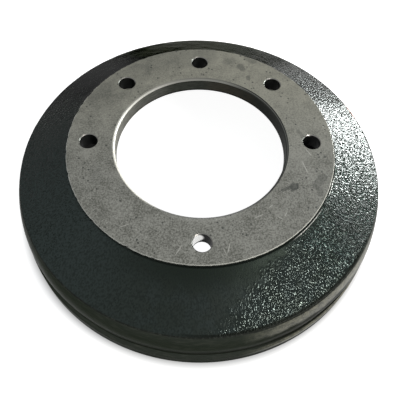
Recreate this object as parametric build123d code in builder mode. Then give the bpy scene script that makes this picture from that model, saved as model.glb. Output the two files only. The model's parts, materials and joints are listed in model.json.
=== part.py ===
from build123d import *
from math import cos, radians, sin, tan
import os

# A one-piece cast iron brake drum, turned on its working faces and drilled for its studs.
# Units are millimetres. The Z axis is the axle line, z = 0 is the plane of the open rim
# and the mounting flange closes the drum at the top.

# Driving dimensions
drum_height = 78.0
flange_radius = 115.0
flange_thickness = 15.0
bore_radius = 74.0
bolt_circle_radius = 96.5
hole_radius = 7.5
friction_radius = 150.0
friction_width = 39.0
wall_thickness = 11.0
cone_angle = 29.0

# The flange's side is turned down to a narrow ledge, where the cast cone begins.
turned_side_height = 3.0
ledge_width = 1.5

# Outside of the friction ring: a barrelled wall from the shoulder to a shallow groove,
# then a bead that stiffens the open rim. Each radius and drop is measured on the outside.
shoulder_radius = 161.2
barrel_radius = 60.0
wall_radius = 166.3
wall_drop = 48.0
groove_radius = 165.5
groove_height = 16.5
bead_radius = 168.2
bead_height = 12.0
rim_radius = 168.5

# Inside: a run-out for the boring tool lies between the friction face and the cone.
run_out_depth = 1.5

# Edge breaks and casting rounds
flange_edge_break = 0.4
bore_top_chamfer = 2.0
bore_back_chamfer = 1.0
hole_chamfer = 0.7
lead_in = 2.5
rim_chamfer = 1.2
run_out_chamfer = 2.5
shoulder_fillet = 2.0
groove_fillet = 2.5
bead_fillet = 1.2
web_fillet = 8.0

# Eight places are marked out round the bolt circle and two of them stay undrilled.
arc_hole_count = 5
arc_hole_range = 180.0

# The cone's two faces are parallel, one wall thickness apart, so the inner one is found
# by moving the outer one's first point along the normal.
cone_slope = tan(radians(cone_angle))
ledge_radius = flange_radius + ledge_width
ledge_height = drum_height - turned_side_height
shoulder_height = ledge_height - (shoulder_radius - ledge_radius) * cone_slope
back_height = drum_height - flange_thickness
inner_start_radius = ledge_radius - wall_thickness * sin(radians(cone_angle))
inner_start_height = ledge_height - wall_thickness * cos(radians(cone_angle))
web_radius = inner_start_radius + (inner_start_height - back_height) / cone_slope
run_out_radius = friction_radius + run_out_depth
run_out_height = back_height - (run_out_radius - web_radius) * cone_slope


def corner(sketch, radius, height):
    return sketch.vertices().sort_by_distance(Vector(radius, height, 0))[0]


# The half section lies in the XZ plane, to the right of the axis. It is drawn from the
# flange's face down the outside, across the open rim and back up the inside.
with BuildPart() as brake_drum:
    with BuildSketch(Plane.XZ) as half_section:
        with BuildLine() as outline:
            flange_side = Polyline(
                (bore_radius, drum_height),
                (flange_radius, drum_height),
                (flange_radius, ledge_height),
                (ledge_radius, ledge_height),
                (shoulder_radius, shoulder_height),
            )
            barrel = RadiusArc(
                flange_side @ 1,
                (wall_radius, drum_height - wall_drop),
                barrel_radius,
            )
            rim_and_inside = Polyline(
                barrel @ 1,
                (groove_radius, groove_height),
                (bead_radius, bead_height),
                (rim_radius, 0),
                (friction_radius + lead_in, 0),
                (friction_radius, lead_in),
                (friction_radius, friction_width),
                (run_out_radius, friction_width),
                (run_out_radius, run_out_height),
                (web_radius, back_height),
                (bore_radius, back_height),
            )
            Line(rim_and_inside @ 1, flange_side @ 0)
        make_face()

        fillet(corner(half_section, shoulder_radius, shoulder_height), shoulder_fillet)
        fillet(corner(half_section, groove_radius, groove_height), groove_fillet)
        fillet(corner(half_section, bead_radius, bead_height), bead_fillet)
        fillet(corner(half_section, web_radius, back_height), web_fillet)
        chamfer(corner(half_section, flange_radius, drum_height), flange_edge_break)
        chamfer(corner(half_section, bore_radius, drum_height), bore_top_chamfer)
        chamfer(corner(half_section, bore_radius, back_height), bore_back_chamfer)
        chamfer(corner(half_section, rim_radius, 0), rim_chamfer)
        chamfer(corner(half_section, run_out_radius, run_out_height), run_out_chamfer)
    revolve(axis=Axis.Z)

    # Five stud holes fill one half of the bolt circle and the sixth stands opposite them.
    with BuildSketch(Plane.XY.offset(back_height)) as stud_holes:
        with PolarLocations(
            bolt_circle_radius, arc_hole_count, angular_range=arc_hole_range, endpoint=True
        ):
            Circle(hole_radius)
        with Locations((0, -bolt_circle_radius)):
            Circle(hole_radius)
    extrude(amount=flange_thickness, mode=Mode.SUBTRACT)
    hole_edges = (
        brake_drum.edges()
        .filter_by(GeomType.CIRCLE)
        .filter_by(lambda edge: abs(edge.radius - hole_radius) < hole_chamfer)
    )
    chamfer(hole_edges, hole_chamfer)

brake_drum.part.label = "brake_drum"

os.makedirs("parts", exist_ok=True)
export_step(brake_drum.part, "parts/brake_drum.step")
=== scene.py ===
import json
import math
import bpy
import numpy as np
from mathutils import Matrix, Vector


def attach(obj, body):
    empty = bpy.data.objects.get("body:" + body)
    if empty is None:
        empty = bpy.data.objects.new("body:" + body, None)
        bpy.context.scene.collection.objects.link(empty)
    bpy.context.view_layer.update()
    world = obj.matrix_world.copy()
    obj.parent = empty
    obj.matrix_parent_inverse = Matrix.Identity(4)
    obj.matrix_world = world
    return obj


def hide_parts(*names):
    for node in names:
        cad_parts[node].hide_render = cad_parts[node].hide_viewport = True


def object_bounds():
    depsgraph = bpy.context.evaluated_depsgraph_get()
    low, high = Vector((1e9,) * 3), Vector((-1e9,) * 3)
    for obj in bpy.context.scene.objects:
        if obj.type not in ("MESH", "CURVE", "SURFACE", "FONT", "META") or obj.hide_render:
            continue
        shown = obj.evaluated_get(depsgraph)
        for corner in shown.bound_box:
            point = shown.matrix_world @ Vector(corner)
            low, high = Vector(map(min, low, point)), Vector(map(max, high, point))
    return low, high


# A cast iron brake drum: black paint over the raw casting, bare iron wherever it is turned.
# Settings are in millimetres and degrees, and Blender works in metres. The Z axis is the axle
# line, and the open rim stands on z = 0.

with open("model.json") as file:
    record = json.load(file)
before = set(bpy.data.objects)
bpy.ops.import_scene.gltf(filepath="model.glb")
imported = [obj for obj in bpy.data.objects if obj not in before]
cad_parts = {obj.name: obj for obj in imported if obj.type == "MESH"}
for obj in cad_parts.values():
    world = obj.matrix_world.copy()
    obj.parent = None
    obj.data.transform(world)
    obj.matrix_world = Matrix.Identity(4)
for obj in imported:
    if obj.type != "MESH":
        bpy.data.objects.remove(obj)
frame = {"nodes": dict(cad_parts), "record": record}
cadLow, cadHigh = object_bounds()
mounts = {m["name"]: m for m in frame["record"]["mounts"]}
print("frame loaded:", sorted(frame["nodes"]))

mm = 0.001

# Driving dimensions. What the frame already knows is read from it.
drum = {
    "height": cadHigh.z / mm,
    "rimRadius": (cadHigh.x - cadLow.x) / 2 / mm,
    "boreRadius": mounts["pilot_bore"]["dims"]["r_mm"],
    "frictionRadius": mounts["friction_bore"]["dims"]["r_mm"],
    "holeRadius": mounts["stud_holes_along_x"]["dims"]["hole_r_mm"],
    "boltCircle": mounts["stud_holes_along_x"]["dims"]["spacing_x_mm"] / 2,
    "backHeight": mounts["flange_back"]["pos_m"][2] / mm,
    "flangeRadius": 115.0,
    "edgeBreak": 0.4,
    "ledgeDrop": 3.0,
    "ledgeWidth": 1.5,
    "coneAngle": 29.0,
    "wall": 11.0,
    "shoulderRadius": 161.2,
    "shoulderRounding": 2.0,
    "barrelEnd": (166.3, 30.0),     # radius and height
    "barrelRadius": 60.0,
    "groove": (165.5, 16.5),
    "grooveRounding": 2.5,
    "bead": (168.2, 12.0),
    "beadRounding": 1.2,
    "rimChamfer": 1.2,
    "leadIn": 2.5,
    "frictionWidth": 39.0,
    "runOut": 1.5,
    "runOutChamfer": 2.5,
    "webRounding": 8.0,
    "boreTopChamfer": 2.0,
    "boreBackChamfer": 1.0,
    "holeChamfer": 0.7,
    "holeAngles": [0, 45, 90, 135, 180, 270],
    # how finely it is divided
    "sectors": 8,
    "stepsPerSector": 68,       # columns round the drum in each eighth
    "stepsAcrossFlange": 16,
    "ringsPerHole": 9,
    "ringSpread": 1.2,          # the rings round a hole lie closer together near it
    "barrelSteps": 8,
    "arcStep": 9.0,             # one step of a rounding turns by about this much
    "faceMargin": (4.0, 3.0),   # the flat patches stop this far from the flange's two edges
    "backMargin": (3.0, 5.0),
    "sharpAngle": 24.0,
    "mergeSteps": 1e4,          # points are one where they agree to a millimetre over this
}

ledgeRadius = drum["flangeRadius"] + drum["ledgeWidth"]
ledgeHeight = drum["height"] - drum["ledgeDrop"]


class Wire:
    # One socket of a node tree. Arithmetic on it adds Math nodes; node() adds any other node.
    def __init__(self, tree, socket=None):
        self.tree = tree
        self.socket = socket

    # adds a node: its settings first, then a value or a link for each socket
    def node(self, kind, settings=None, inputs=None, output=0):
        made = self.tree.nodes.new(kind)
        for name, value in (settings or {}).items():
            setattr(made, name, value)
        for name, value in (inputs or {}).items():
            if isinstance(value, Wire):
                self.tree.links.new(value.socket, made.inputs[name])
            else:
                made.inputs[name].default_value = value
        return Wire(self.tree, made.outputs[output] if made.outputs else None)

    # another output of the same node
    def other(self, output):
        return Wire(self.tree, self.socket.node.outputs[output])

    def maths(self, operation, first, second=0.0):
        return self.node("ShaderNodeMath", {"operation": operation}, {0: first, 1: second})

    def __add__(self, other):
        return self.maths("ADD", self, other)

    def __radd__(self, other):
        return self.maths("ADD", other, self)

    def __sub__(self, other):
        return self.maths("SUBTRACT", self, other)

    def __rsub__(self, other):
        return self.maths("SUBTRACT", other, self)

    def __mul__(self, other):
        return self.maths("MULTIPLY", self, other)

    def __rmul__(self, other):
        return self.maths("MULTIPLY", other, self)

    def __truediv__(self, other):
        return self.maths("DIVIDE", self, other)

    def __rtruediv__(self, other):
        return self.maths("DIVIDE", other, self)

    def __pow__(self, other):
        return self.maths("POWER", self, other)

    def __rpow__(self, other):
        return self.maths("POWER", other, self)

    def __abs__(self):
        return self.maths("ABSOLUTE", self)

    def most(self, other):
        return self.maths("MAXIMUM", self, other)

    def least(self, other):
        return self.maths("MINIMUM", self, other)

    # 0 below low, 1 above high, smooth in between
    def rise(self, low, high):
        return self.node("ShaderNodeMapRange", {"interpolation_type": "SMOOTHSTEP"},
                         {"Value": self, "From Min": low, "From Max": high})

    # the same for a distance, with both ends in millimetres
    def past(self, low, high):
        return self.rise(low * mm, high * mm)

    # a colour between two, by this mask
    def blend(self, first, second):
        return self.node("ShaderNodeMix", {"data_type": "RGBA"}, {0: self, 6: first, 7: second}, 2)

    # this place's grain: fractal noise with lumps of about that size in millimetres
    def grain(self, size, detail=2.0, roughness=0.5, distortion=0.0):
        return self.node("ShaderNodeTexNoise", None,
                         {"Vector": self, "Scale": 1 / (size * mm), "Detail": detail,
                          "Roughness": roughness, "Distortion": distortion})

    # patches of grain: 0 where it is under low, 1 where it is over high
    def patches(self, size, low, high, detail=2.0):
        return self.grain(size, detail).rise(low, high)

    # a length that wavers with the grain, by about half its reach in millimetres either way
    def waver(self, size, reach, detail=2.0):
        return (self.grain(size, detail) - 0.5) * reach * mm

    # scattered dots that many millimetres apart: 1 up to low spacings from a middle, 0 past high
    def dots(self, spacing, low, high):
        scale = 1 / (spacing * mm)
        cells = self.node("ShaderNodeTexVoronoi", None, {"Vector": self, "Scale": scale})
        return 1 - cells.rise(low, high)

    def vector(self, operation, other):
        return self.node("ShaderNodeVectorMath", {"operation": operation}, {0: self, 1: other})

    def stretched(self, along):
        return self.vector("MULTIPLY", along)

    # how far this place is from a point
    def farFrom(self, point):
        return self.vector("DISTANCE", point).other(1)

    # the normal over a relief whose height of 1 is that depth in millimetres
    def bump(self, height, depth):
        return self.node("ShaderNodeBump", None,
                         {"Height": height, "Distance": depth * mm, "Strength": 1.0})


# Starts a material and returns it with the place on the piece.
def newFinish(name):
    material = bpy.data.materials.new(name)
    material.use_nodes = True
    material.node_tree.nodes.clear()
    start = Wire(material.node_tree)
    return material, start.node("ShaderNodeTexCoord", None, None, "Object")


# Ends a material with the one shader that every finish here uses, and returns it.
def closeFinish(material, place, sockets):
    surface = place.node("ShaderNodeBsdfPrincipled", None, sockets)
    place.node("ShaderNodeOutputMaterial", None, {"Surface": surface})
    return material


# x, y, z and the distance from the axle
def axesOf(place):
    parted = place.node("ShaderNodeSeparateXYZ", None, {0: place})
    x, y, z = (parted.other(axis) for axis in range(3))
    return x, y, z, (x * x + y * y) ** 0.5


# 1 inside a stretch of bearings round the axle, 0 outside, with soft ends: the cosine of the
# angle from the middle of the stretch, against the cosine at its ends.
def bearingMask(axes, middle, halfWidth, soft=4.0):
    x, y, _, radius = axes
    east, north = math.cos(math.radians(middle)), math.sin(math.radians(middle))
    cosine = (x * east + y * north) / radius
    outer = math.cos(math.radians(halfWidth + soft))
    return cosine.rise(outer, math.cos(math.radians(halfWidth - soft)))


# In the settings of a finish, a name that ends in At holds bearings: the middle of a stretch, half
# its width and how soft its ends are. One that ends in Reach holds distances, from none to full.
# The numbers of grain, patches, dots and a waver stand in the order of the methods above.
paintSet = {
    "green": (0.0225, 0.0283, 0.0250, 1),
    "blue": (0.0270, 0.0352, 0.0345, 1),
    "shaded": (0.0135, 0.0172, 0.0155, 1),      # between the pebbles
    "run": (0.0135, 0.0180, 0.0145, 1),
    "dark": (0.0080, 0.0095, 0.0080, 1),
    "rust": (0.110, 0.048, 0.026, 1),
    "rubbed": (0.34, 0.34, 0.315, 1),
    "grazing": (0.288, 0.290, 0.278, 1),        # what the dry paint mirrors at a low angle
    "shine": 0.30,
    "roughness": 0.14,
    "drift": (26.0, 0.16),      # it wanders over patches of this size, by this much
    "levelRoughness": 0.05,     # taken off where the paint is level
    "pitRoughness": 0.22,       # added in the pits, where the paint dries dull
    "dullRoughness": 0.34,      # added where the paint has run, and at the shoulder
    "pebble": 1.20,             # spacing of the casting's pebbles, across
    "drawn": 0.62,              # their width as a share of their length, which points outwards
    "pebbleDepth": 0.72,
    "pits": (1.8, 0.18, 0.42),
    "pitFields": (4.8, 0.40, 0.56, 1.0),
    "pitDepth": 0.45,           # against the height of a pebble
    "gaps": (0.30, 0.62),       # pebble heights from fully shaded to not shaded
    "gapShade": 0.6,
    "pitShade": 0.7,
    "clouds": (11.0, 0.40, 0.60),       # bluer black in clouds, and most of all on one side
    "cloudBlue": 0.45,
    # painted reflection: the cone's black is bluer and lighter on this side
    "blueAt": (203.0, 30.0, 25.0),
    "sideBlue": 0.85,
    "levelAt": (108.0, 44.0, 20.0),     # the paint fills the pebbles here
    "levelling": 0.92,
    # a run of thick paint fills them too, and near the flange it takes a painted shadow of the
    # flange: its edge starts at a point by the flange and heads away
    "runFrom": (92.2, -74.7),
    "runBearing": 226.0,
    "runWaver": (6.0, 22.0),
    "runEdgeReach": (-7.0, 7.0),
    "runEndReach": (-70.0, -60.0),      # along Y
    "runAt": (280.0, 52.0, 18.0),
    "runDarkAt": (285.0, 34.0, 22.0),   # it is darkest close to the flange
    "runDarkReach": (118.0, 140.0),
    # the last of the cone before the shoulder is dull, with painted shade on one side; on the other
    # a broken dark line runs along its edge
    "lipAt": (298.0, 30.0, 12.0),
    "lipReach": (158.3, 159.3),
    "chipAt": (32.0, 30.0, 10.0),
    "chipReach": (159.3, 159.9),
    "chipWaver": (3.0, 2.2),
    "rustAt": (21.5, 2.6, 2.0),
    # painted shade across the whole cone on the far side
    "darkAt": (96.0, 16.0, 10.0),       # the whole width of the cone is darker here
    "darkShare": 0.8,
    # thick glossy paint on the pebbles: bearings, and how much of it
    "glossAt": [((-5.0, 31.5, 6.5), 0.85), ((37.0, 14.0, 7.0), 0.52)],
    "glossHeights": (0.36, 0.50),       # pebble heights where it begins and is full
    "fullAt": (11.0, 10.0, 8.0),        # it reaches lower between them here, by this much
    "fullBy": 0.09,
    "glossPits": 0.8,           # the share of it that the pits break
    # and a thin film of it over everything
    "filmAt": [((182.0, 26.0, 25.0), 0.20), ((145.0, 19.0, 11.0), 0.125)],
    # paint is rubbed off the ledge's corner, out to this distance, with a ragged edge, and the bare
    # iron is made lighter as a painted highlight
    "rubAt": [(316.5, 7.0), (338.0, 2.0)],
    "rubReach": (0.45, 0.70),
    "rubGrain": (2.0, 0.5),     # its size and depth
}


# The cone: pebbled cast skin under black gloss.
def glossPaint():
    material, place = newFinish("blackGlossPaint")
    s = paintSet
    axes = axesOf(place)
    x, y, z, radius = axes
    # pebbles: soft lumps at the sand's grain, drawn out away from the axle, with small pits
    inward = (radius * s["drawn"] + (1 - s["drawn"]) * ledgeRadius * mm) / radius
    drawn = place.node("ShaderNodeCombineXYZ", None,
                       {0: x * inward, 1: y * inward, 2: z * s["drawn"]})
    pebbles = drawn.grain(s["pebble"], 0.0)
    pits = place.dots(*s["pits"]) * place.patches(*s["pitFields"])
    # the run lies on the flange's side of a wavering line across the cone
    heading = math.radians(s["runBearing"])
    startX, startY = s["runFrom"]
    beyond = (y - startY * mm) * math.cos(heading) - (x - startX * mm) * math.sin(heading)
    beyond = beyond + place.waver(*s["runWaver"])
    run = (1 - beyond.past(*s["runEdgeReach"])) * (1 - y.past(*s["runEndReach"]))
    run = run * bearingMask(axes, *s["runAt"])
    # painted shadow of the flange over the run, darkest close to the flange
    flangeShadow = (1 - radius.past(*s["runDarkReach"])) * bearingMask(axes, *s["runDarkAt"])
    lipShade = radius.past(*s["lipReach"]) * bearingMask(axes, *s["lipAt"])
    level = run.most(bearingMask(axes, *s["levelAt"]))
    relief = (pebbles - pits * s["pitDepth"]) * (1 - level * s["levelling"])
    # colour: greener and bluer black, with a painted reflection on one side; painted shade between
    # the pebbles, in the pits, at the shoulder and across the far side; a painted shadow of the
    # flange over the run
    clouds = place.patches(*s["clouds"]) * s["cloudBlue"]
    # blue clouds, and a painted reflection on one side
    blue = clouds.most(bearingMask(axes, *s["blueAt"]) * s["sideBlue"])
    colour = blue.blend(s["green"], s["blue"])
    colour = (run * flangeShadow).blend(colour, s["run"])
    gaps = (1 - pebbles.rise(*s["gaps"])) * s["gapShade"]
    colour = gaps.most(pits * s["pitShade"]).blend(colour, s["shaded"])
    # a broken dark line along the cone's outer edge on one side
    edgeLine = (radius + place.waver(*s["chipWaver"])).past(*s["chipReach"])
    edgeLine = edgeLine * bearingMask(axes, *s["chipAt"])
    # painted shade at the shoulder's corner and across the far side, and a dark line along the
    # outer edge
    dark = lipShade.most(edgeLine).most(bearingMask(axes, *s["darkAt"]) * s["darkShare"])
    colour = dark.blend(colour, s["dark"])
    colour = (edgeLine * bearingMask(axes, *s["rustAt"])).blend(colour, s["rust"])
    # bare iron within a ragged distance of the ledge's corner, made lighter as a painted highlight
    corner = ((radius - ledgeRadius * mm) ** 2 + (z - ledgeHeight * mm) ** 2) ** 0.5
    grainSize, grainDepth = s["rubGrain"]
    rubbed = 1 - (corner + place.grain(grainSize) * grainDepth * mm).past(*s["rubReach"])
    first, second = (bearingMask(axes, *stretch) for stretch in s["rubAt"])
    colour = (rubbed * first.most(second)).blend(colour, s["rubbed"])
    # thick paint looks wet; the rest is shaded as metal, whose tint keeps it dry at a low angle
    first, second = (bearingMask(axes, *stretch) * share for stretch, share in s["glossAt"])
    covered = (pebbles + bearingMask(axes, *s["fullAt"]) * s["fullBy"]).rise(*s["glossHeights"])
    wet = first.most(second) * covered * (1 - pits * s["glossPits"])
    for stretch, share in s["filmAt"]:
        wet = wet.most(bearingMask(axes, *stretch) * share)
    dull = run.most(lipShade).most(edgeLine)
    driftSize, driftBy = s["drift"]
    roughness = s["roughness"] - level * s["levelRoughness"]
    roughness = roughness + (place.grain(driftSize) - 0.5) * driftBy
    roughness = roughness + pits * s["pitRoughness"] + dull * s["dullRoughness"]
    return closeFinish(material, place, {
        "Base Color": colour,
        "Metallic": 1 - wet * (1 - dull),
        "Specular IOR Level": s["shine"],
        "Specular Tint": s["grazing"],
        "Roughness": roughness,
        "Normal": place.bump(relief, s["pebbleDepth"]),
    })


rimPaintSet = {
    "colour": (0.0210, 0.0242, 0.0200, 1),
    "worn": (0.0335, 0.0362, 0.0300, 1),
    "dusty": (0.137, 0.134, 0.098, 1),
    "dirt": (0.0085, 0.0085, 0.0070, 1),
    "grazing": (0.435, 0.44, 0.43, 1),
    "shine": 0.16,
    "roughness": 0.36,
    "streaks": (7.0, 3.0),
    "streakStretch": (1.0, 1.0, 6.0),
    "streakWear": (0.45, 0.75),     # streak heights from painted to worn
    "streakRoughness": 0.2,
    "skin": (1.6, 2.0),
    "skinDepth": 0.14,
    "dustyAt": (-50.0, 17.0, 14.0),     # a dusty painted highlight and painted shade show on this side
    "barrelReach": (35.0, 41.0),    # heights: the barrel is dusty above this,
    "topReach": (48.0, 49.2),       # and dark again at the shoulder;
    "footReach": (5.0, 8.0),        # the bead is dusty above this,
    "beadReach": (13.6, 15.0),      # and the groove above it is dark
    "waver": (9.0, 7.0, 3.0),
    "dustLeast": 0.35,
    "dustFields": (4.0, 0.36, 0.60, 3.0),
    "dustFieldShare": 0.5,
    "dustGrain": 1.8,
    "dirtShare": 0.85,
    "plainShare": 0.9,          # how much of the dusty paint mirrors low light in full
}


# The band: satin paint with the marks of turning; on one side a dusty painted highlight where it
# bulges, and painted shade where it is hollow.
def rimPaint():
    material, place = newFinish("satinRimPaint")
    s = rimPaintSet
    axes = axesOf(place)
    z = axes[2]
    # drawn out along the turning, as the tool leaves it
    streaks = place.stretched(s["streakStretch"]).grain(*s["streaks"])
    skin = place.grain(*s["skin"])
    colour = streaks.rise(*s["streakWear"]).blend(s["colour"], s["worn"])
    side = bearingMask(axes, *s["dustyAt"])
    barrel = (z + place.waver(*s["waver"])).past(*s["barrelReach"]) * (1 - z.past(*s["topReach"]))
    bead = z.past(*s["footReach"]) * (1 - z.past(*s["beadReach"]))
    bulging = barrel.most(bead)
    dustAndSheen = place.patches(*s["dustFields"]) * s["dustFieldShare"] + s["dustLeast"]
    dustAndSheen = dustAndSheen + (skin - 0.5) * s["dustGrain"]
    # dusty painted highlight where the band bulges on the lit side
    colour = (side * bulging * dustAndSheen).blend(colour, s["dusty"])
    # painted shade in the hollows on that side
    colour = (side * (1 - bulging) * s["dirtShare"]).blend(colour, s["dirt"])
    return closeFinish(material, place, {
        "Base Color": colour,
        "Metallic": 1 - side * bulging * s["plainShare"],
        "Specular IOR Level": s["shine"],
        "Specular Tint": s["grazing"],
        "Roughness": s["roughness"] + (streaks - 0.5) * s["streakRoughness"],
        "Normal": place.bump(skin, s["skinDepth"]),
    })


shoulderSet = {
    "dark": (0.016, 0.018, 0.015, 1),
    "light": (0.040, 0.045, 0.038, 1),
    "rust": (0.16, 0.055, 0.025, 1),
    "shine": 0.05,
    "roughness": 0.6,
    "flecks": (2.5, 2.0),
    "fleckLight": (0.45, 0.70),     # fleck heights from dark to light, and from clean to rusty
    "fleckRust": (0.40, 0.55),
    "fleckDepth": 0.10,
    "rustAt": (21.5, 2.6, 2.0),
}


# The rounding between cone and barrel, where the paint is thin and dull.
def thinPaint():
    material, place = newFinish("thinShoulderPaint")
    s = shoulderSet
    axes = axesOf(place)
    flecks = place.grain(*s["flecks"])
    rust = bearingMask(axes, *s["rustAt"]) * flecks.rise(*s["fleckRust"])
    colour = flecks.rise(*s["fleckLight"]).blend(s["dark"], s["light"])
    return closeFinish(material, place, {
        "Base Color": rust.blend(colour, s["rust"]),
        "Specular IOR Level": s["shine"],
        "Roughness": s["roughness"],
        "Normal": place.bump(flecks, s["fleckDepth"]),
    })


ironSet = {
    "dark": (0.085, 0.087, 0.074, 1),
    "light": (0.245, 0.248, 0.225, 1),
    "warm": (0.250, 0.248, 0.203, 1),       # and warmer towards +Y
    "warmReach": (-50.0, 95.0),
    "stain": (0.046, 0.050, 0.046, 1),
    "bright": (0.42, 0.42, 0.39, 1),
    "edge": (0.48, 0.48, 0.43, 1),
    "metal": 0.30,
    "shine": 0.3,
    "roughness": 0.44,
    "grainRoughness": 0.25,
    "poreRoughness": 0.2,
    # the tone runs from dark to light iron; each of these moves it
    "toneRange": (-0.1, 1.1),
    "tone": 0.56,
    "mottle": (1.35, 3.0, 0.65),
    "mottleTone": 2.2,
    "mottleFade": 0.9,          # per 100 mm towards +Y, where the face is cleaner
    "clouds": (15.0, 3.0, 0.6, 0.4),
    "cloudTone": 1.1,
    # painted light: the face is lighter towards +X and round one bearing, where the light falls
    "sideTone": 0.02,           # per 100 mm towards +X
    "lightAt": (36.0, 50.0, 28.0),
    "lightTone": 0.12,
    # clean metal specks, and small open pores gathered in some places
    "specks": (2.6, 0.14, 0.26),
    "speckFields": (3.0, 0.45, 0.60, 1.0),
    "speckReach": (-60.0, 10.0),            # fewer from here on towards +Y
    "speckShare": 0.40,
    "pores": (5.0, 0.13, 0.22),
    "poreFields": (18.0, 0.46, 0.56, 1.0),
    "poreShare": 0.85,
    # a ring just outside the bore is burnished on one side: radius and half width
    "burnishedRing": (77.5, 2.0),
    "burnishedAt": (270.0, 20.0),
    "burnishedShare": 0.25,
    # oil stains on the flange, from one point to another: x, y, x, y, half width, and how dark
    "stains": [(75.6, -45.2, 75.0, -46.0, 3.0, 0.70), (73.0, -46.5, 66.2, -49.6, 1.4, 0.55),
               (78.6, -43.2, 78.4, -47.4, 0.7, 0.80), (78.4, -47.4, 73.5, -50.2, 0.7, 0.70),
               (94.0, -45.0, 100.5, -37.0, 3.6, 0.40), (96.0, -53.0, 97.0, -49.0, 2.5, 0.35),
               (-44.0, 98.0, 4.0, 107.0, 15.0, 0.22), (-90.0, 46.0, -60.0, 80.0, 14.0, 0.20),
               (39.0, 92.1, 41.0, 88.0, 3.0, 0.5), (31.0, 100.0, 26.0, 97.0, 4.0, 0.25),
               (45.9, 77.4, 45.9, 75.4, 2.0, 0.5), (46.9, 103.0, 52.0, 99.0, 3.5, 0.35),
               (105.5, -16.2, 105.7, -15.8, 1.0, 0.7), (86.0, 12.0, 90.0, 4.0, 1.6, 0.3),
               (-88.0, -30.0, -84.0, -40.0, 5.0, 0.18), (-97.0, 52.0, -88.0, 62.0, 6.0, 0.18)],
    "stainWaver": (3.0, 3.0),
    "stainSteady": 3.0,         # a stain narrower than this wavers less
    # a stain fades from this share of its half width to that one and this many millimetres
    "stainEdge": (0.75, 1.15, 0.4),
    # scratches: x and y of the middle, bearing, half length and half width
    "scratches": [(87.0, -26.5, 285.0, 8.0, 0.33), (45.0, -73.5, 24.0, 4.5, 0.30),
                  (55.0, -64.5, 40.0, 3.0, 0.28), (-60.0, -82.0, 20.0, 5.0, 0.25),
                  (92.0, -11.0, 300.0, 5.0, 0.25), (20.0, -101.0, 75.0, 5.0, 0.28),
                  (17.0, -104.0, 110.0, 4.0, 0.22), (-18.0, -103.0, 60.0, 6.0, 0.22),
                  (66.0, -72.0, 62.0, 2.5, 0.30), (62.0, -75.5, 150.0, 2.5, 0.25)],
    "scratchShare": 0.8,
    # the outer edge is knocked bright, with a ragged limit
    "edgeGrain": (2.2, 1.2),
    "edgeReach": (114.9, 115.5),
    "edgeTopReach": (74.0, 75.0),
    "edgeShare": 0.9,
    # relief: the iron's grain, fine rings left by the facing tool, and the pores
    "depth": 0.08,
    "grainHeight": 0.8,
    "ringSpacing": 0.9,
    "ringHeight": 0.06,
    "poreDepth": 1.2,
}


# A stain is where the distance to its line, with a waver, is under its half width. The nearest
# point of the line is the share of it that the place has passed, kept between its two ends.
def stainMask(x, y, waver, startX, startY, endX, endY, halfWidth):
    full, fading, extra = ironSet["stainEdge"]
    spanX, spanY = endX - startX, endY - startY
    dx, dy = x - startX * mm, y - startY * mm
    share = (dx * spanX + dy * spanY) / ((spanX ** 2 + spanY ** 2) * mm)
    share = share.most(0.0).least(1.0)
    far = ((dx - share * spanX * mm) ** 2 + (dy - share * spanY * mm) ** 2) ** 0.5
    far = far + waver * min(1.0, halfWidth / ironSet["stainSteady"])
    return 1 - far.past(halfWidth * full, halfWidth * fading + extra)


# A scratch is a thin line: the distance across it, faded out along its outer halves.
def scratchMask(x, y, middleX, middleY, bearing, halfLength, halfWidth):
    east, north = math.cos(math.radians(bearing)), math.sin(math.radians(bearing))
    dx, dy = x - middleX * mm, y - middleY * mm
    along, across = abs(dx * east + dy * north), abs(dy * east - dx * north)
    return (1 - across.past(0.0, halfWidth * 2)) * (1 - along.past(halfLength * 0.5, halfLength))


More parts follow.
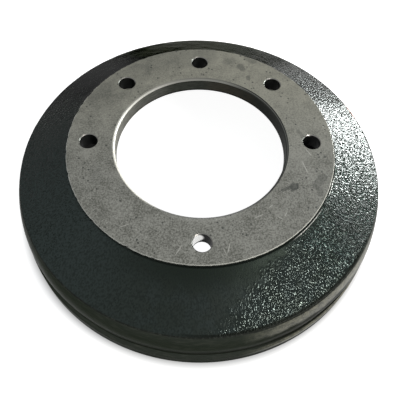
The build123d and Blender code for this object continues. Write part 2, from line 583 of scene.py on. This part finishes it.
# The turned faces: mottled grey iron with pores, stains and scratches.
def turnedIron():
    material, place = newFinish("turnedIron")
    s = ironSet
    axes = axesOf(place)
    x, y, z, radius = axes
    perHundred = 1 / (100 * mm)
    mottle = place.grain(*s["mottle"])
    clouds = place.grain(*s["clouds"])
    tone = (mottle - 0.5) * (s["mottleTone"] - y * (s["mottleFade"] * perHundred))
    tone = tone + (clouds - 0.5) * s["cloudTone"] + s["tone"]
    # painted light, lighter towards +X and on one side
    tone = tone + x * (s["sideTone"] * perHundred)
    tone = tone + bearingMask(axes, *s["lightAt"]) * s["lightTone"]
    light = y.past(*s["warmReach"]).blend(s["light"], s["warm"])
    colour = tone.rise(*s["toneRange"]).blend(s["dark"], light)
    specks = place.dots(*s["specks"]) * place.patches(*s["speckFields"])
    specks = specks * (1 - y.past(*s["speckReach"]))
    colour = (specks * s["speckShare"]).blend(colour, s["bright"])
    ringRadius, ringHalf = s["burnishedRing"]
    fromRing = radius - ringRadius * mm
    burnished = fromRing.past(-ringHalf, 0.0) * (1 - fromRing.past(0.0, ringHalf))
    burnished = burnished * bearingMask(axes, *s["burnishedAt"])
    colour = (burnished * s["burnishedShare"]).blend(colour, s["bright"])
    pores = place.dots(*s["pores"]) * place.patches(*s["poreFields"])
    colour = (pores * s["poreShare"]).blend(colour, s["stain"])
    waver = place.waver(*s["stainWaver"])
    for *line, darkness in s["stains"]:
        colour = (stainMask(x, y, waver, *line) * darkness).blend(colour, s["stain"])
    for scratch in s["scratches"]:
        colour = (scratchMask(x, y, *scratch) * s["scratchShare"]).blend(colour, s["bright"])
    grainSize, grainDepth = s["edgeGrain"]
    edge = (radius + place.grain(grainSize) * grainDepth * mm).past(*s["edgeReach"])
    edge = edge * z.past(*s["edgeTopReach"])
    colour = (edge * s["edgeShare"]).blend(colour, s["edge"])
    turns = radius * (2 * math.pi / (s["ringSpacing"] * mm))
    rings = turns.maths("SINE", turns)
    relief = mottle * s["grainHeight"] + rings * s["ringHeight"] - pores * s["poreDepth"]
    roughness = s["roughness"] + (mottle - 0.5) * s["grainRoughness"] + pores * s["poreRoughness"]
    return closeFinish(material, place, {
        "Base Color": colour,
        "Metallic": s["metal"],
        "Specular IOR Level": s["shine"],
        "Roughness": roughness,
        "Normal": place.bump(relief, s["depth"]),
    })


freshSet = {
    "dark": (0.030, 0.032, 0.028, 1),
    "line": (0.17, 0.173, 0.155, 1),
    "grey": (0.20, 0.20, 0.18, 1),
    "light": (0.72, 0.72, 0.66, 1),
    "edge": (0.52, 0.52, 0.47, 1),
    "side": (0.020, 0.024, 0.020, 1),
    "drilled": (0.16, 0.16, 0.148, 1),
    "grazing": (0.35, 0.35, 0.35, 1),
    "metal": 0.10,
    "roughness": 0.34,
    "mottle": (1.1, 3.0, 0.6),
    "mottleDepth": 0.04,
    "mottleRoughness": 0.2,
    # the bore's corner is painted light on one side, with a painted highlight on its inner half,
    # most of all round one bearing
    "cleanAt": (150.0, 88.0, 12.0),
    "innerReach": (75.0, 75.4),
    "innerWaver": 0.6,
    "innerLeast": 0.22,
    "brightAt": (182.0, 50.0, 24.0),
    "brightShare": 0.78,
    "lightShare": 0.80,
    "lightMottle": 0.8,
    # elsewhere it has painted shade, with one light line along it: where that begins and ends
    "lineReach": [(74.6, 75.0), (75.1, 75.5)],
    "drilledReach": (78.0, 80.0),       # the stud holes' corners begin here
    "rimReach": (108.0, 112.0),         # and the flange's edge here
    # paint has crept up the flange's side, to just below its edge
    "paintReach": (76.6, 77.1),
    "paintWaver": (3.0, 1.2),
}


# The corners: freshly cut metal round the bore, the stud holes and the flange. Round the bore,
# painted light on one side and painted shade on the other.
def freshCut():
    material, place = newFinish("freshCutIron")
    s = freshSet
    axes = axesOf(place)
    _, _, z, radius = axes
    mottle = place.grain(*s["mottle"])
    inner = 1 - (radius + (mottle - 0.5) * s["innerWaver"] * mm).past(*s["innerReach"])
    inner = inner * (s["innerLeast"] + bearingMask(axes, *s["brightAt"]) * s["brightShare"])
    clean = inner * (s["lightShare"] + (mottle - 0.5) * s["lightMottle"])
    clean = clean.blend(s["grey"], s["light"])
    begins, ends = s["lineReach"]
    line = radius.past(*begins) * (1 - radius.past(*ends))
    # painted light on one side of the bore's corner, painted shade on the other
    colour = bearingMask(axes, *s["cleanAt"]).blend(line.blend(s["dark"], s["line"]), clean)
    atHoles = radius.past(*s["drilledReach"])
    atRim = radius.past(*s["rimReach"])
    colour = atRim.blend(atHoles.blend(colour, s["drilled"]), s["edge"])
    painted = atRim * (1 - (z + place.waver(*s["paintWaver"])).past(*s["paintReach"]))
    colour = painted.blend(colour, s["side"])
    return closeFinish(material, place, {
        "Base Color": colour,
        "Metallic": s["metal"] + atHoles * (1 - atRim) * (1 - s["metal"]),
        "Specular Tint": s["grazing"],
        "Roughness": s["roughness"] + (mottle - 0.5) * s["mottleRoughness"],
        "Normal": place.bump(mottle, s["mottleDepth"]),
    })


boreSet = {
    "dark": (0.042, 0.046, 0.039, 1),
    "light": (0.070, 0.074, 0.064, 1),
    "warm": (0.085, 0.077, 0.060, 1),
    "clean": (0.19, 0.19, 0.172, 1),
    "dirt": (0.014, 0.015, 0.013, 1),
    "shine": 0.03,
    "roughness": 0.50,
    "streakRoughness": 0.2,
    # tool marks run round the wall, so the grain is drawn out sideways
    "streaks": (5.0, 3.0, 0.6),
    "streakStretch": (1.0, 1.0, 5.0),
    "streakLight": (0.30, 0.75),        # streak heights from dark to light, and from there to warm
    "streakWarm": (0.20, 0.60),
    "marks": (3.0, 2.0),
    "markStretch": (0.4, 0.4, 6.0),
    "markDepth": 0.08,
    "warmAt": (64.0, 17.0, 9.0),
    # painted light on one side, most of all towards -X
    "cleanAt": (156.0, 40.0, 7.0),
    "cleanShare": 0.42,
    "cleanestAt": (178.0, 32.0, 18.0),
    "cleanestShare": 0.25,
    "cleanStreaks": 1.2,
    # painted shade along both ends of the wall, and all over it on the other side
    "backReach": (64.6, 66.2),
    "topReach": (75.2, 75.8),
    "endShare": 0.85,
    "dirtAt": (18.0, 26.0, 16.0),
    "dirtShare": 0.5,
}


# The wall of the bore: dark iron, with painted light on one side, and painted shade on the other
# and along both ends.
def darkBore():
    material, place = newFinish("oiledBoreIron")
    s = boreSet
    axes = axesOf(place)
    z = axes[2]
    streaks = place.stretched(s["streakStretch"]).grain(*s["streaks"])
    marks = place.stretched(s["markStretch"]).grain(*s["marks"])
    colour = streaks.rise(*s["streakLight"]).blend(s["dark"], s["light"])
    warm = bearingMask(axes, *s["warmAt"]) * streaks.rise(*s["streakWarm"])
    colour = warm.blend(colour, s["warm"])
    # painted light on one side of the wall
    brightest = bearingMask(axes, *s["cleanestAt"])
    clean = s["cleanShare"] + brightest * s["cleanestShare"] + (streaks - 0.5) * s["cleanStreaks"]
    colour = (bearingMask(axes, *s["cleanAt"]) * clean).blend(colour, s["clean"])
    # painted shade at the wall's ends and on the other side
    ends = (1 - z.past(*s["backReach"])).most(z.past(*s["topReach"])) * (1 - brightest)
    dirt = (ends * s["endShare"]).most(bearingMask(axes, *s["dirtAt"]) * s["dirtShare"])
    colour = dirt.blend(colour, s["dirt"])
    return closeFinish(material, place, {
        "Base Color": colour,
        "Specular IOR Level": s["shine"],
        "Roughness": s["roughness"] + (streaks - 0.5) * s["streakRoughness"],
        "Normal": place.bump(marks, s["markDepth"]),
    })


drillSet = {
    "oiled": (0.009, 0.010, 0.009, 1),
    "bare": (0.88, 0.88, 0.86, 1),
    "shine": 0.03,
    "roughness": 0.40,
    "marks": (1.2, 2.0),
    "markStretch": (1.0, 1.0, 3.0),
    "markDepth": 0.05,
    "markRoughness": 0.2,
    # one hole's wall is bare metal round this point, down to its lower corner, made nearly white as
    # a painted highlight
    "bareFrom": (-4.6, -91.6, 71.0),
    "bareReach": (5.5, 7.5),
    "bareFootReach": (64.6, 65.6),
    "bareMetal": 0.9,
    "bareSmoother": 0.12,
}


# The walls of the stud holes: near-black, with the marks of the drill, and a painted highlight in
# one of them.
def drilledIron():
    material, place = newFinish("drilledIron")
    s = drillSet
    marks = place.stretched(s["markStretch"]).grain(*s["marks"])
    z = axesOf(place)[2]
    # painted highlight on bare metal round one point of one hole's wall
    bare = 1 - place.farFrom([value * mm for value in s["bareFrom"]]).past(*s["bareReach"])
    bare = bare * z.past(*s["bareFootReach"])
    roughness = s["roughness"] + (marks - 0.5) * s["markRoughness"] - bare * s["bareSmoother"]
    return closeFinish(material, place, {
        "Base Color": bare.blend(s["oiled"], s["bare"]),
        "Metallic": bare * s["bareMetal"],
        "Specular IOR Level": s["shine"],
        "Roughness": roughness,
        "Normal": place.bump(marks, s["markDepth"]),
    })


finishes = [glossPaint(), rimPaint(), turnedIron(), freshCut(), darkBore(), drilledIron(),
            thinPaint()]
gloss, satin, turned, fresh, bore, drilled, thin = range(len(finishes))
print("finishes made:", [material.name for material in finishes])


# Walks along corners (radius, height, rounding, finish, spacing, rounding's own finish if it has
# one). A rounding is the circular arc tangent to both straights; each straight is divided evenly at
# about its spacing. Returns the rows and the finish of each band between two rows.
def roundedProfile(corners):
    points = np.array([corner[:2] for corner in corners], float)
    rows, bands = [points[0]], []

    def extend(new, finish):
        rows.extend(new)
        bands.extend([finish] * len(new))

    for i in range(1, len(corners)):
        finish, spacing = corners[i - 1][3], corners[i - 1][4]
        rounding = corners[i][2]
        arrive = points[i] - points[i - 1]
        arrive /= np.linalg.norm(arrive)
        stop, arc = points[i], None
        if rounding:
            leave = points[i + 1] - points[i]
            leave /= np.linalg.norm(leave)
            turn = math.atan2(arrive[0] * leave[1] - arrive[1] * leave[0], arrive @ leave)
            stop = points[i] - arrive * rounding * math.tan(abs(turn) / 2)
            side = math.copysign(1, turn) * np.array([-arrive[1], arrive[0]])
            steps = max(3, round(abs(turn) / math.radians(drum["arcStep"])))
            sweep = np.linspace(0, abs(turn), steps + 1)[1:, None]
            arc = stop + rounding * (arrive * np.sin(sweep) + side * (1 - np.cos(sweep)))
        straight = stop - rows[-1]
        count = max(1, round(float(np.linalg.norm(straight)) / spacing))
        extend(list(rows[-1] + straight * np.linspace(0, 1, count + 1)[1:, None]), finish)
        if arc is not None:
            extend(list(arc), corners[i][5] if len(corners[i]) > 5 else corners[i][3])
    return np.array(rows), np.array(bands)


# Points on the circular arc through two points, bulging away from the axle: its centre lies on the
# line that halves the chord, at the distance that Pythagoras gives.
def barrelPoints(start, end, radius, count):
    start, end = np.array(start, float), np.array(end, float)
    chord = end - start
    length = np.linalg.norm(chord)
    inward = np.array([chord[1], -chord[0]]) / length
    if inward[0] > 0:
        inward = -inward
    centre = (start + end) / 2 + inward * math.sqrt(radius ** 2 - (length / 2) ** 2)
    first = math.atan2(*(start - centre)[::-1])
    last = math.atan2(*(end - centre)[::-1])
    angles = np.linspace(first, last, count + 1)
    return centre + radius * np.stack([np.cos(angles), np.sin(angles)], 1)


# Grid of (profile row) x (angle): x = radius * cos(angle), y = radius * sin(angle), z = height.
def revolve(rows, angles):
    radius, height = rows[:, :1], rows[:, 1:]
    return np.stack([radius * np.cos(angles), radius * np.sin(angles), height + 0 * angles], -1)


# Quads between neighbouring rows and columns of a grid, whose columns close into a ring or not.
def gridQuads(rowCount, columnCount, closed=True):
    row = np.arange(rowCount - 1)[:, None] * columnCount
    column = np.arange(columnCount if closed else columnCount - 1)[None, :]
    after = (column + 1) % columnCount
    return np.stack([row + column, row + columnCount + column,
                     row + columnCount + after, row + after], -1).reshape(-1, 4)


# The edge of one eighth of a flange face, counter-clockwise from its outer start: outer arc, side
# in, inner arc, side out. Each run is even in angle or radius.
def sectorEdge(middle, inner, outer):
    half = math.pi / drum["sectors"]
    arcSteps, sideSteps = drum["stepsPerSector"], drum["stepsAcrossFlange"]
    arc = np.linspace(-half, half, arcSteps + 1)[:-1]
    side = np.linspace(outer, inner, sideSteps + 1)[:-1]
    angle = np.concatenate([arc, np.full(sideSteps, half), -arc, np.full(sideSteps, -half)])
    angle = angle + middle
    radius = np.concatenate([np.full(arcSteps, outer), side, np.full(arcSteps, inner),
                             (inner + outer) - side])
    return np.stack([radius * np.cos(angle), radius * np.sin(angle)], -1)


# One eighth of a flange face round a hole: rings that blend from the hole's circle to the edge, the
# share of the way being the ring's number to a power.
def holedSector(middle, inner, outer, height, holeLoop):
    edge = sectorEdge(middle, inner, outer)
    share = np.linspace(0, 1, drum["ringsPerHole"] + 1)[:, None, None] ** drum["ringSpread"]
    flat = holeLoop + (edge - holeLoop) * share
    return np.concatenate([flat, np.full(flat.shape[:2] + (1,), height)], -1)


# The hole's circle, each point in the direction of its partner on the sector's edge.
def holeCircle(middle, inner, outer, radius):
    centre = drum["boltCircle"] * np.array([math.cos(middle), math.sin(middle)])
    away = sectorEdge(middle, inner, outer) - centre
    return centre + radius * away / np.linalg.norm(away, axis=1, keepdims=True)


parts = []      # (points, quads, finish of each quad)


# Puts a grid aside as one patch of the casting.
def keep(grid, quads, finish):
    parts.append((grid.reshape(-1, 3), quads, np.broadcast_to(finish, len(quads)).astype(int)))


# The cone's two faces are parallel, one wall thickness apart, so the inner one is found by moving
# the outer one's first point along the normal.
d = drum
top, back = d["height"], d["backHeight"]
steep = math.radians(d["coneAngle"])
slope = math.tan(steep)
shoulderHeight = ledgeHeight - (d["shoulderRadius"] - ledgeRadius) * slope
wallIn, wallDown = d["wall"] * math.sin(steep), d["wall"] * math.cos(steep)
webRadius = (ledgeRadius - wallIn) + (ledgeHeight - wallDown - back) / slope
runOutRadius = d["frictionRadius"] + d["runOut"]
runOutHeight = back - (runOutRadius - webRadius) * slope
chamferRun = d["runOutChamfer"]
faceInner, faceOuter = d["boreRadius"] + d["faceMargin"][0], d["flangeRadius"] - d["faceMargin"][1]
backInner, backOuter = d["boreRadius"] + d["backMargin"][0], webRadius - d["backMargin"][1]

barrel = barrelPoints((d["shoulderRadius"], shoulderHeight), d["barrelEnd"],
                      d["barrelRadius"], d["barrelSteps"])
# corners: radius, height, rounding, finish and spacing up to the next one, rounding's own finish
outside = [
    (faceOuter, top, 0, turned, 1.5),
    (d["flangeRadius"] - d["edgeBreak"], top, 0, fresh, 0.3),
    (d["flangeRadius"], top - d["edgeBreak"], 0, fresh, 0.9),
    (d["flangeRadius"], ledgeHeight, 0, gloss, 0.75),
    (ledgeRadius, ledgeHeight, 0, gloss, 1.5),
    (barrel[0][0], barrel[0][1], d["shoulderRounding"], satin, 1.2, thin),
    *[(r, z, 0, satin, 3.0) for r, z in barrel[1:]],
    (*d["groove"], d["grooveRounding"], satin, 1.0),
    (*d["bead"], d["beadRounding"], satin, 1.8),
    (d["rimRadius"], d["rimChamfer"], 0, turned, 0.6),
    (d["rimRadius"] - d["rimChamfer"], 0, 0, turned, 4.0),
    (d["frictionRadius"] + d["leadIn"], 0, 0, turned, 1.8),
    (d["frictionRadius"], d["leadIn"], 0, turned, 6.0),
    (d["frictionRadius"], d["frictionWidth"], 0, turned, 1.5),
    (runOutRadius, d["frictionWidth"], 0, gloss, 1.0),
    (runOutRadius, runOutHeight - chamferRun, 0, gloss, 1.5),
    (runOutRadius - chamferRun * math.cos(steep), runOutHeight + chamferRun * math.sin(steep),
     0, gloss, 3.0),
    (webRadius, back, d["webRounding"], gloss, 1.5),
    (backOuter, back, 0, turned, 1.5),
]
inside = [
    (backInner, back, 0, turned, 1.5),
    (d["boreRadius"] + d["boreBackChamfer"], back, 0, fresh, 0.5),
    (d["boreRadius"], back + d["boreBackChamfer"], 0, bore, 2.0),
    (d["boreRadius"], top - d["boreTopChamfer"], 0, fresh, 1.0),
    (d["boreRadius"] + d["boreTopChamfer"], top, 0, turned, 1.0),
    (faceInner, top, 0, turned, 1.0),
]

sectorCount = d["sectors"] * d["stepsPerSector"]
around = np.arange(sectorCount) * 2 * math.pi / sectorCount
for corners in (outside, inside):
    rows, bands = roundedProfile(corners)
    keep(revolve(rows, around), gridQuads(len(rows), sectorCount), np.repeat(bands, sectorCount))

# The flange's two faces, an eighth at a time: with a hole and its wall, or plain.
faces = ((faceInner, faceOuter, top, 1), (backInner, backOuter, back, -1))
half = math.pi / d["sectors"]
for sector in range(d["sectors"]):
    degrees = sector * 360 // d["sectors"]
    middle = math.radians(degrees)
    if degrees in d["holeAngles"]:
        wide = holeCircle(middle, faceInner, faceOuter, d["holeRadius"] + d["holeChamfer"])
        narrow = holeCircle(middle, faceInner, faceOuter, d["holeRadius"])
        for inner, outer, height, flip in faces:
            quads = gridQuads(d["ringsPerHole"] + 1, len(wide))[:, ::flip]
            keep(holedSector(middle, inner, outer, height, wide), quads, turned)
        loops = np.stack([wide, narrow, narrow, narrow, wide])
        depth = np.array([top, top - d["holeChamfer"], (top + back) / 2,
                          back + d["holeChamfer"], back])
        depth = np.broadcast_to(depth[:, None, None], loops.shape[:2] + (1,))
        keep(np.concatenate([loops, depth], -1), gridQuads(len(loops), len(wide))[:, ::-1],
             np.repeat([fresh, drilled, drilled, fresh], len(wide)))
    else:
        angle = np.linspace(middle - half, middle + half, d["stepsPerSector"] + 1)
        for inner, outer, height, flip in faces:
            radius = np.linspace(inner, outer, d["stepsAcrossFlange"] + 1)
            grid = revolve(np.stack([radius, np.full_like(radius, height)], 1), angle)
            keep(grid, gridQuads(len(radius), len(angle), closed=False)[:, ::flip], turned)
print("casting laid out in", len(parts), "patches")

# Joins the patches: points that fall together become one.
starts = np.cumsum([0] + [len(part[0]) for part in parts[:-1]])
loose = np.concatenate([part[0] for part in parts])
quads = np.concatenate([part[1] + start for part, start in zip(parts, starts)])
finishOf = np.concatenate([part[2] for part in parts])
_, firstOf, joined = np.unique(np.round(loose * d["mergeSteps"]).astype(np.int64), axis=0,
                               return_index=True, return_inverse=True)
points, quads = loose[firstOf], joined.ravel()[quads]

castSet = {
    "waves": [(38.0, 0.16, 3), (14.0, 0.09, 5), (6.0, 0.05, 7)],    # length, depth, seed
    "waveCount": 16,
    "waveSpread": (0.7, 1.5),   # the shortest and longest wave, against that length
    # the cast skin fades in from here: past the ledge, above the run-out, and on the band's outside
    "ledgeFade": (0.5, 4.5),
    "coneFade": (0.0, 2.0),
    "bandFade": (155.0, 157.0),
    "footFade": (2.0, 5.0),
    # nicks in the flange's edge: bearing, half width along it and depth
    "nicks": [(240.1, 1.3, 0.9), (163.0, 2.2, 0.6), (171.5, 1.6, 0.5), (152.0, 2.8, 0.5),
              (186.0, 2.0, 0.45), (197.0, 1.5, 0.4), (66.0, 2.5, 0.45), (118.0, 2.2, 0.45),
              (126.0, 1.6, 0.5), (135.5, 1.4, 0.4), (145.0, 1.5, 0.55), (158.0, 1.2, 0.5),
              (178.0, 1.3, 0.5), (210.0, 1.4, 0.4), (222.0, 1.2, 0.45), (251.0, 1.2, 0.35)],
    "nickReach": 1.2,           # how far in from the edge they are felt
    "wear": (5.0, 0.13, 11),    # even wear between them: length, depth, seed
    "slack": 0.1,               # a point counts as on the edge's side within this
}


# Smooth random relief from about -1 to 1: the sum of sine waves in random directions.
def waveRelief(points, length, seed):
    waves = castSet["waveCount"]
    random = np.random.default_rng(seed)
    heading = random.normal(size=(waves, 3))
    heading /= np.linalg.norm(heading, axis=1, keepdims=True)
    heading *= 2 * math.pi / (length * random.uniform(*castSet["waveSpread"], (waves, 1)))
    offset = random.uniform(0, 2 * math.pi, waves)
    return np.sin(points @ heading.T + offset).sum(1) / math.sqrt(waves * 2)


# 0 below low, 1 above high, straight in between
def ramp(values, low, high):
    return np.clip((values - low) / (high - low), 0, 1)


# Sinks the raw cast skin by the sum of its waves, always inwards along the cone's normal or the
# band's radius, fading out at the turned faces.
def roughenCast(points):
    radius, height = np.hypot(points[:, 0], points[:, 1]), points[:, 2]
    onCone = ramp(radius - ledgeRadius, *castSet["ledgeFade"])
    onCone = onCone * ramp(height - runOutHeight, *castSet["coneFade"])
    onBand = ramp(radius, *castSet["bandFade"]) * ramp(height, *castSet["footFade"])
    onBand = onBand * (height < runOutHeight + castSet["coneFade"][1])
    relief = sum(depth * (0.5 - 0.5 * waveRelief(points, length, seed))
                 for length, depth, seed in castSet["waves"])
    relief = np.clip(relief, 0, None) * np.maximum(onCone, onBand)
    sloping = height > shoulderHeight - 1
    points = points.copy()
    points[:, :2] *= (1 - relief * np.where(sloping, math.sin(steep), 1.0) / radius)[:, None]
    points[:, 2] -= relief * np.where(sloping, math.cos(steep), 0.0)
    return points


# Dents the flange's outer edge inwards: a bell curve of the arc length from each nick, and wear.
def nickEdge(points):
    radius, height = np.hypot(points[:, 0], points[:, 1]), points[:, 2]
    angle = np.degrees(np.arctan2(points[:, 1], points[:, 0])) % 360
    felt = ramp(radius - d["flangeRadius"], -castSet["nickReach"], 0.0)
    felt *= height > ledgeHeight + castSet["slack"]
    felt *= radius < d["flangeRadius"] + castSet["slack"]
    dent = sum(depth * np.exp(-((np.radians(angle - at) * d["flangeRadius"]) / width) ** 2)
               for at, width, depth in castSet["nicks"])
    length, depth, seed = castSet["wear"]
    wear = depth * (1 + waveRelief(points, length, seed))
    points = points.copy()
    points[:, :2] *= (1 - felt * (dent + wear) / radius)[:, None]
    return points


points = nickEdge(roughenCast(points))

mesh = bpy.data.meshes.new("drumCasting")
mesh.from_pydata((points * mm).tolist(), [], quads.tolist())
for material in finishes:
    mesh.materials.append(material)
mesh.polygons.foreach_set("material_index", finishOf.astype(np.int32))
mesh.polygons.foreach_set("use_smooth", np.ones(len(quads), bool))
mesh.set_sharp_from_angle(angle=math.radians(d["sharpAngle"]))
mesh.validate()
mesh.update()
casting = bpy.data.objects.new("drumCasting", mesh)
bpy.context.scene.collection.objects.link(casting)
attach(casting, "root")
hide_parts("brake_drum")
print("casting:", len(points), "points,", len(quads) * 2, "triangles")


floorSet = {
    "size": 6000.0,
    "colour": (0.60, 0.60, 0.60, 1),
    "shade": (0.03, 0.03, 0.03, 1),     # under the web, where no light is let in
    "shown": 0.94,              # what camera, metal and glass see on top of the lit floor
    # the floor is lit through the bore, in a strip along Y and a wider disc in the middle
    "stripHalf": 54.0,
    "stripReach": (92.0, 102.0),
    "discReach": (108.0, 118.0),
    "outsideReach": (-8.0, 10.0),       # and outside the rim
}


# 1 for a ray from the camera, from metal or through glass, 0 for one that carries light
def seenDirectly(start):
    rays = start.node("ShaderNodeLightPath")
    camera, glossy, through = (rays.other(name) for name in
                               ("Is Camera Ray", "Is Glossy Ray", "Is Transmission Ray"))
    return camera.most(glossy).most(through)


# One square. The strip is where the distance to its middle line is small: how far y lies beyond
# the line's ends, and x.
def layFloor():
    half = floorSet["size"] * mm / 2
    mesh = bpy.data.meshes.new("floor")
    mesh.from_pydata([(-half, -half, 0), (half, -half, 0), (half, half, 0), (-half, half, 0)],
                     [], [(0, 1, 2, 3)])
    material, place = newFinish("paleFloor")
    x, y, _, radius = axesOf(place)
    stripHalf = floorSet["stripHalf"] * mm
    beyond = y - y.most(-stripHalf).least(stripHalf)
    strip = 1 - ((x * x + beyond * beyond) ** 0.5).past(*floorSet["stripReach"])
    pool = strip.most(1 - radius.past(*floorSet["discReach"]))
    outside = [drum["rimRadius"] + reach for reach in floorSet["outsideReach"]]
    lit = pool.most(radius.past(*outside))
    shown = seenDirectly(place) * lit * floorSet["shown"]
    closeFinish(material, place, {
        "Base Color": lit.blend(floorSet["shade"], floorSet["colour"]),
        "Roughness": 1.0,
        "Specular IOR Level": 0.0,
        "Emission Color": shown.blend((0, 0, 0, 1), (1, 1, 1, 1)),
        "Emission Strength": 1.0,
    })
    mesh.materials.append(material)
    floor = bpy.data.objects.new("floor", mesh)
    bpy.context.scene.collection.objects.link(floor)


skySet = {"light": (0.92, 0.97, 1.0, 1), "strength": 0.36, "shown": 1.0}


# White for what is seen directly, and a plain cool light on the drum.
def hangSky():
    world = bpy.data.worlds.new("studio")
    world.use_nodes = True
    world.node_tree.nodes.clear()
    bpy.context.scene.world = world
    start = Wire(world.node_tree)
    seen = seenDirectly(start)
    strength = seen * (skySet["shown"] - skySet["strength"]) + skySet["strength"]
    colour = seen.blend(skySet["light"], (1, 1, 1, 1))
    sky = start.node("ShaderNodeBackground", None, {"Color": colour, "Strength": strength})
    start.node("ShaderNodeOutputWorld", None, {"Surface": sky})


# Each lamp: bearing round the drum from +X, height angle, distance, width and height in metres,
# brightness, colour, and where it shows
lamps = {
    "windowLamp": (41, 13, 1.6, 0.95, 0.60, 22.0, (1.0, 0.97, 0.95), "diffuse"),
    "glintLamp": (34, 2, 0.60, 0.24, 0.11, 58.0, (0.94, 1.0, 0.985), "gloss"),
    "wideLamp": (18, 17, 1.6, 0.56, 0.36, 14.5, (0.94, 1.0, 0.985), "gloss"),
    "roomLamp": (-28, 34, 1.5, 0.55, 0.40, 18.0, (1.0, 0.97, 0.92), "diffuse"),
    "sparkleLamp": (-42, 28, 1.5, 0.24, 0.20, 88.0, (1.0, 0.93, 0.91), "gloss"),
}
lampAim = (0, 0, 40 * mm)


# A rectangle that faces the aim; its power is its brightness by its area by pi.
def hangLamp(name, bearing, rise, distance, width, height, brightness, colour, shows):
    bearing, rise = math.radians(bearing), math.radians(rise)
    away = Vector((math.cos(bearing) * math.cos(rise), math.sin(bearing) * math.cos(rise),
                   math.sin(rise)))
    light = bpy.data.lights.new(name, "AREA")
    light.shape = "RECTANGLE"
    light.size, light.size_y = width, height
    light.energy = brightness * math.pi * width * height
    light.color = colour
    lamp = bpy.data.objects.new(name, light)
    lamp.location = Vector(lampAim) + away * distance
    lamp.rotation_euler = away.to_track_quat("Z", "Y").to_euler()
    lamp.visible_camera = False
    lamp.visible_diffuse = shows == "diffuse"
    lamp.visible_glossy = shows == "gloss"
    bpy.context.scene.collection.objects.link(lamp)


cameraSet = {
    "distance": 399.48,         # from the middle of the flange's face
    "rise": 51.938,             # height angle
    "tilt": 7.286,              # below the line to the flange's middle
    "aside": 0.1718,
    "roll": 2.1204,
    "turn": -2.3549,            # the drum's own turn under the camera
    "lens": 41.299,
    "sensor": 36.0,
    "clip": (0.01, 50.0),       # metres
}


# Stands at the height angle, looks at the flange's middle, then tilts, turns aside and rolls.
def placeCamera():
    rise, tilt, aside, roll, turn = (math.radians(cameraSet[name]) for name in
                                     ("rise", "tilt", "aside", "roll", "turn"))
    stand = Vector((0, -math.cos(rise), math.sin(rise))) * (cameraSet["distance"] * mm)
    right = Vector((1, 0, 0))
    ahead = -stand.normalized()
    ahead = ahead * math.cos(tilt) - right.cross(ahead) * math.sin(tilt)
    up = right.cross(ahead)
    ahead = ahead * math.cos(aside) + right * math.sin(aside)
    right = ahead.cross(up)
    right = right * math.cos(roll) + up * math.sin(roll)
    up = right.cross(ahead)
    pose = Matrix((right, up, -ahead)).transposed().to_4x4()
    pose.translation = stand
    pose = Matrix.Translation((0, 0, cadHigh.z)) @ Matrix.Rotation(turn, 4, "Z") @ pose
    data = bpy.data.cameras.new("camera")
    data.sensor_width = cameraSet["sensor"]
    data.lens = cameraSet["lens"]
    data.clip_start, data.clip_end = cameraSet["clip"]
    camera = bpy.data.objects.new("camera", data)
    camera.matrix_world = pose
    bpy.context.scene.collection.objects.link(camera)
    bpy.context.scene.camera = camera


layFloor()
hangSky()
for lampName, settings in lamps.items():
    hangLamp(lampName, *settings)
placeCamera()
bpy.context.scene.view_settings.view_transform = "Standard"
print("floor, light and camera set")
